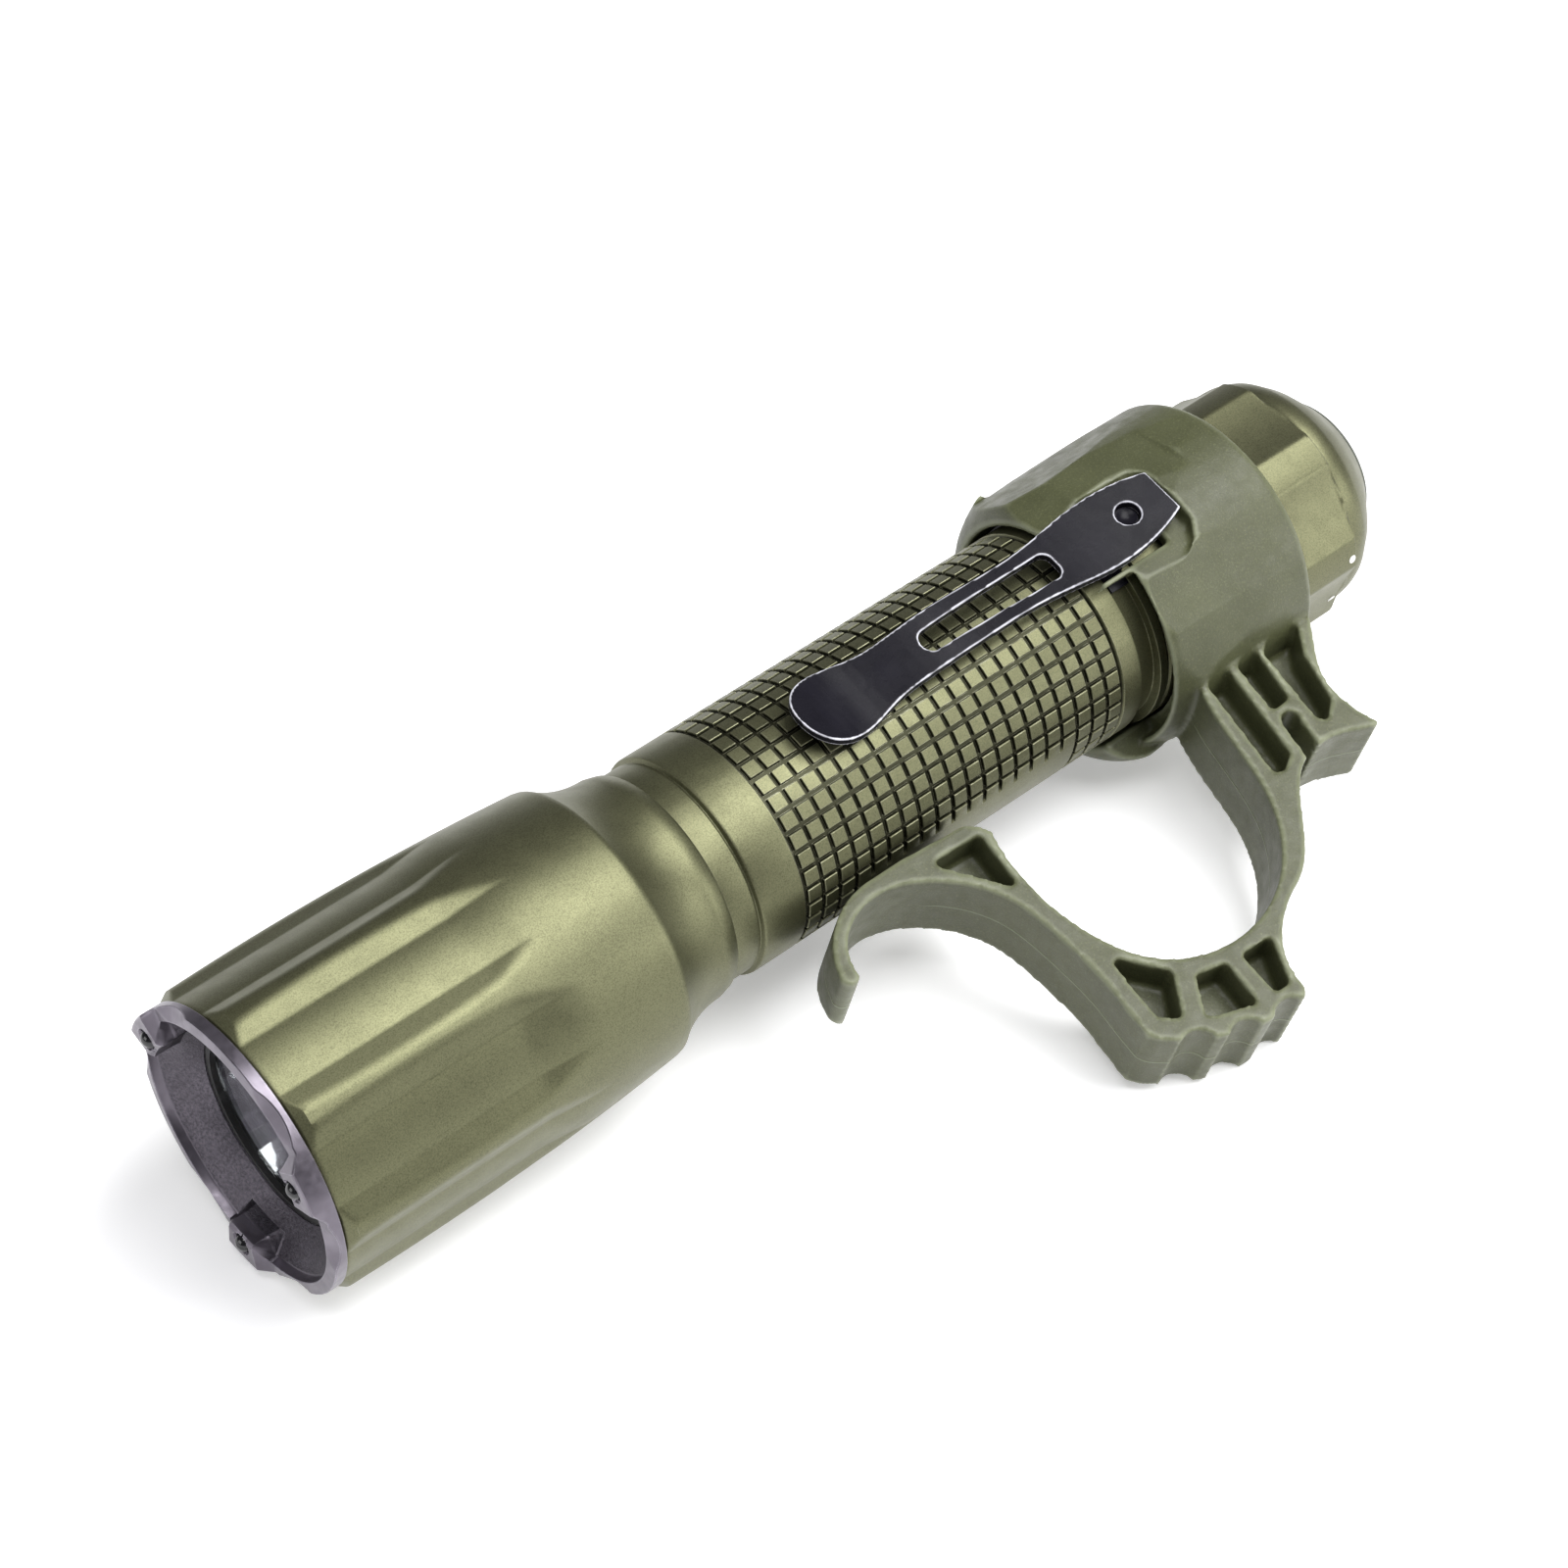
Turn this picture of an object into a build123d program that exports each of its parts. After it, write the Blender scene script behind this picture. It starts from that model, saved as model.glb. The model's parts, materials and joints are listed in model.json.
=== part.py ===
from build123d import *
import math
import os

# Tactical flashlight with a moulded finger ring. Millimetres.
# X is the beam axis and the beam leaves toward +X. The origin is the centre
# of the bezel mouth. Angles are turned about X, from +Y toward +Z.

os.makedirs("parts", exist_ok=True)

# bezel and optics
BEZEL_R = 15.85
MOUTH_R = 14.4
LUG_R = 12.2
LIP_R = 10.7
SKIRT_R = 14.2
LENS_R = 11.9
LUG_X = 0.7
LUG_ANGLES = (30, 150, 270)
BALL_R = 1.0
BALL_X = 0.2
BALL_PITCH_R = 13.6

# head
CREST_R = 16.5
HEAD_FRONT_X = -1.9
HEAD_REAR_X = -52.35
FLUTES = 8
FLUTE_START = 29.5
FLUTE_END_X = -26.0
FLUTE_RUNOUT = 10.3

# tube
TUBE_R = 12.7
TUBE_BORE_R = 9.6
BAND_R = 12.2
SPIGOT_R = 11.25
TAIL_SPIGOT_R = 11.6
KNURL_X = -61.3
KNURL_COLUMNS = 20
KNURL_PITCH = 2.2
CLIP_GROOVE = (-110.6, -108.1)
STOP_RING_R = 13.0

# cell, 18 mm class
CELL_R = 9.2
CELL_X = (-117.3, -49.6)

# clip
CLIP_ANGLE = 78
BAND_MIDDLE = 186
CLIP_THICK = 1.0
RIVET_X = -113.7

# finger ring
TILT = 14.5
RING_THICK = 10.0
COLLAR_BORE_R = 13.3
COLLAR_R = 17.0
COLLAR_REAR_X = -130.3
POCKET_DEPTH = 4.0

# tail cap, selector and button
CAP_R = 13.0
NECK_R = 12.3
SELECTOR_R = 14.4
SCALLOPS = 7
SCALLOP_START = 35.0
BUTTON_R = 8.3
BUTTON_END_X = -148.3


def turned(points):
    """Full turn of an (x, radius) outline about the beam axis."""
    return revolve(make_face(Polyline(*points, close=True)), Axis.X)


def sector(points, middle, width):
    """Part turn of an (x, radius) outline, centred on an angle."""
    part = revolve(make_face(Polyline(*points, close=True)), Axis.X, width)
    return Rot(middle - width / 2, 0, 0) * part


def rod(x0, x1, radius):
    """Round bar between two stations on the beam axis."""
    return Pos((x0 + x1) / 2, 0, 0) * Rot(0, 90, 0) * Cylinder(radius, abs(x1 - x0))


def ring(x0, x1, outer, inner):
    """Plain ring between two stations."""
    return rod(x0, x1, outer) - rod(x0 - 1, x1 + 1, inner)


def seal(x, middle, minor):
    """Round-section rubber ring."""
    return Pos(x, 0, 0) * Rot(0, 90, 0) * Torus(middle, minor)


def coil(x0, x1, radius, wire, turns):
    """Compression spring drawn at its working length."""
    height = x1 - x0 - wire
    path = Helix(height / turns, height, radius)
    section = Plane(path @ 0, z_dir=path % 0) * Circle(wire / 2)
    return Pos(x0 + wire / 2, 0, 0) * Rot(0, 90, 0) * sweep(section, path, is_frenet=True)


def radial(angle, part):
    """Turn a feature drawn on +Z to its angle about the beam."""
    return Rot(angle - 90, 0, 0) * part


def prism(points, low, high, rounding=0):
    """Straight-sided block on an XY outline."""
    face = make_face(Polyline(*points, close=True))
    if rounding:
        face = fillet(face.vertices(), rounding)
    return Pos(0, 0, low) * extrude(face, high - low)


def save(part, name):
    """Write one named solid or group of solids."""
    export_step(part, "parts/" + name + ".step")


# ---------------------------------------------------------------- bezel


def bezel_balls():
    balls = [radial(a, Pos(BALL_X, 0, BALL_PITCH_R) * Sphere(BALL_R)) for a in LUG_ANGLES]
    return Compound(children=balls)


def crown_valley():
    """Shallow round dip that slopes outward across the crown."""
    return Pos(7.78, 0, 19.83) * Rot(0, -29, 0) * Cylinder(9.75, 6)


def ball_sockets(body):
    """Sockets whose narrow mouths keep the balls in, each with a small countersink."""
    for angle in LUG_ANGLES:
        body -= radial(angle, Pos(LUG_X, 0, BALL_PITCH_R) * Rot(0, 90, 0) * Cylinder(1.25, 0.4))
        body -= radial(angle, Pos(BALL_X, 0, BALL_PITCH_R) * Rot(0, 90, 0) * Sphere(BALL_R + 0.05))
    return body


def strike_bezel():
    body = turned([(-9.0, 12.5), (-9.0, SKIRT_R), (-1.85, SKIRT_R), (-1.85, BEZEL_R),
                   (0.45, BEZEL_R), (LUG_X, 15.6), (LUG_X, 12.6), (0.3, LUG_R),
                   (-2.8, LUG_R), (-4.3, LIP_R), (-4.5, LIP_R), (-4.5, 12.5)])
    crown = [(-1.3, 11.5), (-1.3, 14.2), (-0.3, MOUTH_R), (-0.5, 16.2), (2.0, 16.2), (2.0, 11.5)]
    cone = [(-2.8, 11.5), (-2.8, LUG_R), (-1.3, 14.2), (2.0, 14.2), (2.0, 11.5)]
    for angle in LUG_ANGLES:
        body -= sector(crown, angle + 60, 103)
        body -= sector(cone, angle + 60, 96)
        body -= radial(angle + 28, crown_valley())
        body -= radial(angle - 28, crown_valley())
    return ball_sockets(body)


def lens_gasket():
    return turned([(-4.52, 10.0), (-4.52, 12.45), (-6.7, 12.45), (-6.7, LENS_R + 0.03),
                   (-5.2, LENS_R + 0.03), (-5.2, 10.0)])


def reflector():
    def cup(x, offset):
        return math.sqrt(5.785 * (x + 25.5)) + offset
    stations = [-23.5, -22.0, -19.0, -15.0, -11.0, -6.8]
    inner = Spline(*[(x, cup(x, 0)) for x in stations])
    outer = Spline(*[(x, cup(x, 1.1)) for x in (-8.0, -11.0, -15.0, -19.0, -22.0)])
    rim = Polyline(inner @ 1, (-6.8, 12.4), (-8.0, 12.4), outer @ 0)
    back = Polyline(outer @ 1, (-24.0, 5.6), (-24.0, 3.4), inner @ 0)
    return revolve(make_face(inner + rim + outer + back), Axis.X)


# ---------------------------------------------------------------- light engine


def led_emitter():
    base = Pos(-24.3, 0, 0) * Box(0.6, 3.45, 3.45)
    return base + (Pos(-24.0, 0, 0) * Sphere(1.4) & Pos(-23.0, 0, 0) * Box(2, 4, 4))


def centring_ring():
    collar = rod(-24.6, -23.5, 3.35) + rod(-24.6, -24.05, 5.0)
    return collar - Pos(-24, 0, 0) * Box(3, 3.6, 3.6)


def light_engine_pill():
    pill = turned([(-26.2, 0), (-26.2, 12.0), (-26.7, 12.5), (-43.75, 12.5),
                   (-43.75, 11.0), (-30.2, 11.0), (-30.2, 0)])
    for y in (-9.5, 9.5):
        pill -= Pos(0, y, 0) * rod(-31, -26, 1.1)
    return pill


def driver_board():
    board = rod(-43.2, -41.6, 10.95)
    chip = Pos(-40.9, 3.5, 2.0) * Box(1.4, 4.0, 5.0)
    choke = Pos(-40.1, -4.0, 0) * Box(3.0, 5.0, 5.0)
    return board + chip + choke


# ---------------------------------------------------------------- head and tube


def flute_outline():
    """Shallow trough with a round floor and a ramp up to each crest."""
    floor = ThreePointArc((-3.0, 15.35), (0, 15.65), (3.0, 15.35))
    sides = Polyline((3.0, 15.35), (5.85, 15.7), (5.85, 19), (-5.85, 19), (-5.85, 15.7), (-3.0, 15.35))
    return make_face(floor + sides)


def flute():
    section = Plane(origin=(FLUTE_END_X, 0, 0), x_dir=(0, 1, 0), z_dir=(1, 0, 0)) * flute_outline()
    straight = extrude(section, 30, dir=(1, 0, 0))
    runout = extrude(section, 16, dir=(-FLUTE_RUNOUT, 0, 1.05))
    return straight + runout


def head_housing():
    crest = ThreePointArc((-3.0, CREST_R), (-22, 16.6), (-43.3, 15.45))
    crease = Polyline((-43.3, 15.45), (-43.75, 15.35))
    neck = ThreePointArc((-43.75, 15.35), (-46.6, 13.75), (-50.8, 12.95))
    rear = Polyline((-50.8, 12.95), (-52.1, 12.6), (HEAD_REAR_X, 12.35), (HEAD_REAR_X, 11.4),
                    (-43.8, 11.4), (-43.8, 12.6), (-9.4, 12.6), (-9.4, 14.25),
                    (HEAD_FRONT_X, 14.25), (HEAD_FRONT_X, 15.6), (-3.0, CREST_R))
    head = revolve(make_face(crest + crease + neck + rear), Axis.X)
    cutter = flute()
    for k in range(FLUTES):
        head -= radial(FLUTE_START + k * 360 / FLUTES, cutter)
    return head


def knurl_rings():
    cuts = []
    for k in range(KNURL_COLUMNS + 1):
        x = KNURL_X - k * KNURL_PITCH
        cuts.append(ring(x - 0.22, x + 0.22, TUBE_R + 1, TUBE_R - 0.4))
    return cuts


def body_tube():
    rear, front = CLIP_GROOVE
    tube = turned([(-43.9, TUBE_BORE_R), (-43.9, SPIGOT_R - 0.3), (-44.3, SPIGOT_R),
                   (-50.4, SPIGOT_R), (-50.4, 10.3), (-51.6, 10.3), (-51.6, SPIGOT_R),
                   (-52.4, SPIGOT_R), (-52.4, BAND_R), (-55.4, BAND_R), (-55.9, TUBE_R),
                   (front, TUBE_R), (front, 11.9), (rear, 11.9), (rear, STOP_RING_R),
                   (-111.5, STOP_RING_R), (-111.7, 12.8), (-111.7, TAIL_SPIGOT_R),
                   (-112.7, TAIL_SPIGOT_R), (-112.7, 10.6), (-113.9, 10.6), (-113.9, TAIL_SPIGOT_R),
                   (-121.0, TAIL_SPIGOT_R), (-121.3, 11.3), (-121.3, TUBE_BORE_R)])
    return tube - knurl_rings()


# ---------------------------------------------------------------- finger ring


def loop_outline():
    """Outer edge of the loop, from the collar root round to the lever pad."""
    back = Spline((-130.0, 14.7), (-127.8, 18.3), (-125.3, 22.4), (-125.1, 26.2), (-126.3, 30.0))
    spur = Polyline((-126.3, 30.0), (-125.8, 30.3), (-122.5, 29.0))
    saddle = Spline((-122.5, 29.0), (-119.3, 28.4), (-116.1, 29.0), (-111.2, 33.6),
                    (-107.2, 38.0), (-104.9, 39.3))
    heel = Spline((-104.9, 39.3), (-100.4, 41.8), (-98.0, 44.6), (-97.1, 48.4))
    toe = Polyline((-97.1, 48.4), (-96.3, 49.4), (-91.3, 49.2))
    grip = ThreePointArc((-91.3, 49.2), (-85.5, 47.5), (-80.3, 44.2))
    knee = Polyline((-80.3, 44.2), (-79.7, 43.2), (-79.9, 39.8))
    shin = Spline((-79.9, 39.8), (-80.2, 34.8), (-79.8, 29.6), (-78.7, 24.0), (-73.2, 17.4),
                  (-67.5, 15.4), (-62.7, 16.8), (-60.2, 20.6))
    tip = ThreePointArc((-60.2, 20.6), (-58.9, 21.8), (-58.4, 20.2))
    hook = Spline((-58.4, 20.2), (-60.3, 16.9), (-63.6, 14.5), (-68.4, 13.6))
    root = Polyline((-68.4, 13.6), (-72.4, 13.6), (-80.9, 14.3), (-80.9, 6.0), (-130.0, 6.0),
                    (-130.0, 14.7))
    return make_face(back + spur + saddle + heel + toe + grip + knee + shin + tip + hook + root)


def finger_hole():
    """Opening for one finger, open toward the tube."""
    rim = Spline((-114.6, 12.5), (-111.6, 20.0), (-109.4, 30.4), (-104.0, 37.6), (-94.8, 40.4),
                 (-86.7, 37.4), (-82.1, 29.0), (-81.5, 20.0), (-82.3, 16.4))
    mouth = Polyline((-82.3, 16.4), (-81.6, 15.2), (-80.8, 14.6), (-78.0, 12.6), (-78.0, 0),
                     (-114.6, 0), (-114.6, 12.5))
    return make_face(rim + mouth)


def loop_pockets():
    """Lightening pockets, one side."""
    outlines = [
        [(-113.7, 16.3), (-115.1, 15.2), (-117.1, 15.3), (-115.4, 27.4), (-113.4, 28.6), (-112.2, 28.2)],
        [(-118.1, 16.3), (-119.6, 15.5), (-121.3, 15.6), (-120.1, 22.3), (-117.5, 22.5)],
        [(-121.8, 16.6), (-123.2, 15.6), (-127.7, 15.7), (-125.4, 19.2), (-123.9, 25.0),
         (-121.8, 26.7), (-120.9, 25.8)],
        [(-82.4, 34.2), (-86.8, 39.3), (-84.0, 43.8), (-81.9, 42.2)],
        [(-88.5, 41.0), (-92.1, 41.8), (-91.7, 47.1), (-86.1, 45.2)],
        [(-94.1, 42.0), (-98.2, 42.2), (-96.0, 47.3), (-94.0, 47.2)],
        [(-74.4, 15.7), (-81.0, 16.0), (-80.3, 23.2)],
    ]
    top = RING_THICK / 2
    return [prism(points, top - POCKET_DEPTH, top + 1, 0.5) for points in outlines]


def cord_slot():
    """Narrow slot for a cord, open at the back of the loop."""
    slot = Pos(-118.4, 24.4, 0) * Cylinder(1.05, RING_THICK + 2)
    return slot + Pos(-117.9, 27.0, 0) * Rot(0, 0, -8) * Box(2.1, 5.4, RING_THICK + 2)


def grip_flutes():
    """Three round flutes across the outer end."""
    flutes = []
    for x, y in ((-93.9, 50.6), (-88.3, 49.7), (-83.2, 47.7)):
        flutes.append(Pos(x, y, 0) * Cylinder(2.3, RING_THICK + 2))
    return flutes


def hook_taper():
    """Slope on the lower face that thins the hook toward its tip."""
    wedge = prism([(-60.6, 0), (-56.0, 0), (-56.0, 3.4)], -30, -12)
    return Pos(0, 0, -RING_THICK / 2) * Rot(90, 0, 0) * wedge


def loop():
    plate = extrude(loop_outline(), RING_THICK / 2, both=True) - hook_taper()
    plate -= extrude(finger_hole(), RING_THICK, both=True)
    plate -= grip_flutes()
    plate -= cord_slot()
    for pocket in loop_pockets():
        plate -= pocket
        plate -= mirror(pocket, Plane.XY)
    return plate


def collar_body():
    shoulder = Spline((-106.0, 13.9), (-106.6, 14.9), (-107.7, 15.9), (-109.0, 16.6), (-110.7, COLLAR_R))
    rest = Polyline((-110.7, COLLAR_R), (-115.4, 16.5), (-129.7, 16.4), (COLLAR_REAR_X, 15.9),
                    (COLLAR_REAR_X, COLLAR_BORE_R), (-106.0, COLLAR_BORE_R), (-106.0, 13.9))
    return revolve(make_face(shoulder + rest), Axis.X)


def collar_flats(body):
    """Soft facets round the outside of the collar."""
    pad = Pos(-114, 0, 17.9) * Box(20, 30, 4)
    body -= radial(97, pad)
    body -= radial(270, Pos(-118, 0, 18.35) * Box(40, 30, 4))
    slope = Pos(-106.3, 0, 14.1) * Rot(0, 18, 0) * Pos(0, 0, 5) * Box(26, 30, 10)
    body -= radial(100, slope)
    for angle in (22, 138, 176, 214):
        body -= radial(angle, Pos(-121, 0, 18.3) * Rot(0, 3, 0) * Box(22, 14, 4))
    return body


def clip_pocket():
    """Recess in the collar that takes the rear end of the clip."""
    outline = [(-100, 8.6), (-112.9, 8.6), (-113.3, 7.5), (-116.0, 7.5), (-118.2, 5.8), (-119.3, 4.0),
               (-119.3, -3.6), (-118.0, -4.6), (-100, -5.6)]
    tongue = Pos(-108.0, 0, 15) * Box(16.4, 8.6, 10)
    return radial(CLIP_ANGLE, prism(outline, 14.4, 22) + tongue)


def finger_relief():
    """Cut-back collar front beside the finger hole, with a blunt lip."""
    outline = [(-100, 12.9), (-112.4, 12.9), (-112.4, 15.0), (-110.3, 15.0), (-110.3, 15.5),
               (-113.7, 16.8), (-113.7, 19), (-100, 19)]
    return sector(outline, 9, 100)


def finger_ring():
    body = collar_flats(collar_body()) - finger_relief()
    part = body + Rot(-TILT, 0, 0) * loop()
    part -= clip_pocket()
    part -= rod(-140, -50, COLLAR_BORE_R)
    return max(part.solids(), key=lambda solid: solid.volume)


# ---------------------------------------------------------------- clip


def clip_blade():
    top = Spline((-118.6, 16.9), (-113.7, 16.35), (-108.3, 15.8), (-97.0, 15.8), (-86.3, 15.75),
                 (-80.5, 14.9), (-75.3, 14.25), (-71.0, 14.9), (-68.2, 16.1))
    low = Spline((-68.2, 16.1 - CLIP_THICK), (-71.0, 14.9 - CLIP_THICK), (-75.3, 14.25 - CLIP_THICK),
                 (-80.5, 14.9 - CLIP_THICK), (-86.3, 15.75 - CLIP_THICK), (-97.0, 15.8 - CLIP_THICK),
                 (-108.3, 15.8 - CLIP_THICK), (-113.7, 16.35 - CLIP_THICK), (-118.6, 16.9 - CLIP_THICK))
    ends = Line(top @ 1, low @ 0) + Line(low @ 1, top @ 0)
    return extrude(Plane.XZ * make_face(top + ends + low), 8, both=True)


def clip_plan():
    side = Spline((-118.6, 2.75), (-113.8, 4.0), (-108.3, 4.2), (-103.5, 3.6), (-99.0, 3.15),
                  (-92.0, 3.15), (-84.0, 3.15), (-79.0, 3.3), (-76.0, 3.95), (-73.3, 4.3),
                  (-70.6, 3.7), (-68.9, 2.2), (-68.3, 0))
    other = mirror(side, Plane.XZ)
    end = Line((-118.6, 2.75), (-118.6, -2.75))
    return make_face(side + other + end)


def clip_slot():
    slot = make_face(Polyline((-103.4, 1.75), (-84.8, 1.35), (-84.8, -1.35), (-103.4, -1.75), close=True))
    return fillet(slot.vertices(), 1.2)


def pocket_clip():
    plan = Pos(0, 0, 10) * extrude(clip_plan() - clip_slot(), 10)
    blade = clip_blade() & plan
    blade -= Pos(RIVET_X, 0, 15) * Cylinder(1.42, 10)
    return radial(CLIP_ANGLE, blade)


def clip_band():
    rear, front = CLIP_GROOVE
    band = sector([(front - 0.05, 11.95), (rear + 0.05, 11.95), (rear + 0.05, 12.9),
                   (front - 0.05, 12.9)], BAND_MIDDLE, 260)
    seat = Pos(-109.3, 0, 13.4) * Box(2.2, 7.2, 2.7)
    tongue = prism([(-107.4, -3.5), (-112.0, -3.5), (-115.4, -2.4), (-115.4, 2.4), (-112.0, 3.5),
                    (-107.4, 3.5)], 13.35, 14.72, 0.4)
    seat = seat & ring(rear + 0.05, front - 0.05, 20, 12.2)
    return band + radial(CLIP_ANGLE, seat + tongue)


def clip_rivet():
    shank = Pos(RIVET_X, 0, 15.2) * Cylinder(1.3, 0.9)
    return radial(CLIP_ANGLE, shank - Pos(RIVET_X, 0, 17.2) * Sphere(1.9))


# ---------------------------------------------------------------- cell


def battery_cap():
    washer = ring(-49.58, -49.3, 8.6, 3.2)
    button = rod(-49.58, -48.3, 3.0)
    return washer + button + rod(-49.58, -49.45, 4.0)


def battery_cell():
    rear, front = CELL_X
    return turned([(rear, 0), (rear, CELL_R - 0.4), (rear + 0.4, CELL_R), (front - 0.5, CELL_R),
                   (front, CELL_R - 0.5), (front, 0)])


# ---------------------------------------------------------------- tail


def tail_cap_housing():
    cap = turned([(-112.0, 11.66), (-112.0, CAP_R - 0.2), (-112.2, CAP_R), (-130.4, CAP_R),
                  (-130.4, NECK_R), (-135.9, NECK_R), (-135.9, 11.6), (-136.9, 11.6),
                  (-136.9, NECK_R), (-140.4, NECK_R), (-143.0, 9.9), (-143.0, 8.36),
                  (-142.4, 8.36), (-142.4, 9.0), (-141.6, 9.0), (-141.6, 8.36), (-141.0, 8.36),
                  (-141.0, 10.4), (-134.5, 10.4), (-134.5, 9.0), (-124.7, 9.0), (-124.7, 10.9),
                  (-122.0, 10.9), (-122.0, 11.66)])
    return cap - radial(200, Pos(-132.6, 0, 11.4) * Cylinder(0.74, 3.6))


def switch_board():
    board = rod(-124.6, -123.0, 10.85)
    return board - Pos(0, 9.0, 0) * rod(-125, -122, 0.8)


def micro_switch():
    case = Pos(-126.37, 0, 0) * Box(3.5, 6.0, 6.0)
    return case + rod(-129.1, -128.0, 1.6)


def tail_button():
    rise = 1.0
    sphere_r = (BUTTON_R ** 2 + rise ** 2) / (2 * rise)
    middle = BUTTON_END_X + sphere_r - math.sqrt(sphere_r ** 2 - (BUTTON_R / 2) ** 2)
    dome = ThreePointArc((BUTTON_END_X + rise, BUTTON_R), (middle, BUTTON_R / 2), (BUTTON_END_X, 0))
    rest = Polyline((BUTTON_END_X, 0), (-130.6, 0), (-130.6, 2.2), (-139.2, 2.2), (-139.2, 9.8),
                    (-140.95, 9.8), (-140.95, BUTTON_R), (BUTTON_END_X + rise, BUTTON_R))
    return revolve(make_face(dome + rest), Axis.X)


def scallop():
    floor = ThreePointArc((-4.45, 13.7), (0, 13.4), (4.45, 13.7))
    sides = Polyline((4.45, 13.7), (5.6, 15.2), (-5.6, 15.2), (-4.45, 13.7))
    outline = Plane(origin=(-129.5, 0, 0), x_dir=(0, 1, 0), z_dir=(1, 0, 0)) * make_face(floor + sides)
    straight = extrude(outline, 9.6, dir=(-1, 0, 0))
    runout = extrude(Pos(-9.6, 0, 0) * outline, 0.8, dir=(-1, 0, 1.2))
    return straight + runout


def mode_ring():
    body = turned([(-130.7, NECK_R + 0.06), (-130.7, 14.1), (-131.0, SELECTOR_R), (-139.0, SELECTOR_R),
                   (-139.4, 13.48), (-140.8, 13.42), (-141.9, 13.08), (-143.8, 11.7), (-146.8, 8.7), (-146.9, 8.42),
                   (-143.25, 8.42), (-143.25, 9.96), (-140.5, NECK_R + 0.06)])
    body -= ring(-137.1, -135.7, 12.76, 11)
    body -= ring(-133.4, -131.8, 12.86, 11)
    for k in range(SCALLOPS):
        body -= radial(SCALLOP_START + k * 360 / SCALLOPS, scallop())
    for turn in (0, 30, 60, 90):
        body -= radial(200 - turn, Pos(-132.6, 0, 12.3) * Sphere(0.75))
    return body - radial(60.5, Pos(-131.2, 0, 13.5) * Rot(0, 90, 0) * Cylinder(0.57, 2.2))


def snap_ring():
    return sector([(-136.0, 11.62), (-136.8, 11.62), (-136.8, 12.68), (-136.0, 12.68)], 90, 320)


def detent_ball():
    return radial(200, Pos(-132.6, 0, 12.05) * Sphere(0.7))


def detent_spring():
    return radial(200, Pos(-131.6, 0, 0) * Rot(0, -90, 0) * Pos(0, 0, 1) * coil(9.75, 11.3, 0.52, 0.34, 2.5))


def ring_magnet():
    return radial(60.5, Pos(-131.5, 0, 13.5) * Rot(0, 90, 0) * Cylinder(0.55, 1.5))


save(strike_bezel(), "strike_bezel")
save(bezel_balls(), "bezel_balls")
save(lens_gasket(), "lens_gasket")
save(rod(-6.75, -5.22, LENS_R), "lens")
save(reflector(), "reflector")
save(centring_ring(), "reflector_centring_ring")
save(led_emitter(), "led_emitter")
save(rod(-26.18, -24.62, 8.0), "led_board")
save(light_engine_pill(), "light_engine_pill")
save(driver_board(), "driver_board")
save(coil(-48.28, -43.22, 3.0, 0.7, 4), "front_contact_spring")
save(head_housing(), "head_housing")
save(seal(-51.0, 10.86, 0.52), "head_o_ring")
save(body_tube(), "body_tube")
save(seal(-113.3, 11.12, 0.52), "tube_rear_o_ring")
save(finger_ring(), "finger_ring")
save(clip_band(), "clip_band")
save(pocket_clip(), "pocket_clip")
save(clip_rivet(), "clip_rivet")
save(battery_cell(), "battery_cell")
save(battery_cap(), "battery_cap")
save(tail_cap_housing(), "tail_cap_housing")
save(ring(-122.95, -122.1, 10.85, 9.7), "switch_retaining_ring")
save(coil(-122.98, -117.32, 4.0, 0.8, 4), "tail_contact_spring")
save(switch_board(), "switch_board")
save(micro_switch(), "micro_switch")
save(ring(-142.35, -141.65, 8.95, 8.32), "button_seal")
save(snap_ring(), "selector_snap_ring")
save(detent_ball(), "detent_ball")
save(detent_spring(), "detent_spring")
save(ring_magnet(), "ring_magnet")
save(mode_ring(), "mode_ring")
save(tail_button(), "tail_button")
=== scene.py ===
import json
import math

import bpy
import bmesh
import numpy as np
from mathutils import Matrix, Vector


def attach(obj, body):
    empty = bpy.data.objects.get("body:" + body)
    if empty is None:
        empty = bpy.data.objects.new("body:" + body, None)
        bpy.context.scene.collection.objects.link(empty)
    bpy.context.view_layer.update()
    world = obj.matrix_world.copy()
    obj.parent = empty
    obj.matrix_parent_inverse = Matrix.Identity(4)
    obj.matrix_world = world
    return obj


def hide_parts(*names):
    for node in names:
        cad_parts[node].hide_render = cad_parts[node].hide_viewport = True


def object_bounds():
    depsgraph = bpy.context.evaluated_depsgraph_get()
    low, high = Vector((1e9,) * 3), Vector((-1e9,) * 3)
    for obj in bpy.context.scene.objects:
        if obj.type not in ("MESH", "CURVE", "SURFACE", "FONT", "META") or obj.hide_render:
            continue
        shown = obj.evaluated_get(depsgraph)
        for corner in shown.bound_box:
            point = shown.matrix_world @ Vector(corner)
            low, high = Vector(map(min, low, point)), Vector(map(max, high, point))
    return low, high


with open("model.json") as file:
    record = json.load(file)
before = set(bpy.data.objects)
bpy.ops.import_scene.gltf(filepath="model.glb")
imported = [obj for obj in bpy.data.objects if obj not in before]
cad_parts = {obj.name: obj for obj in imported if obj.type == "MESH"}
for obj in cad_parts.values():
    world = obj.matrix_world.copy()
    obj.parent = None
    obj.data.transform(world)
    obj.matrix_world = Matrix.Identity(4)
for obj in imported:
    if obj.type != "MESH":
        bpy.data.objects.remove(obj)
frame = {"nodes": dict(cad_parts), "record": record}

MM = 0.001
TILT = math.radians(14.5)
cad_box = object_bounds()


# ------------------------------------------------------------------ materials

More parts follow.
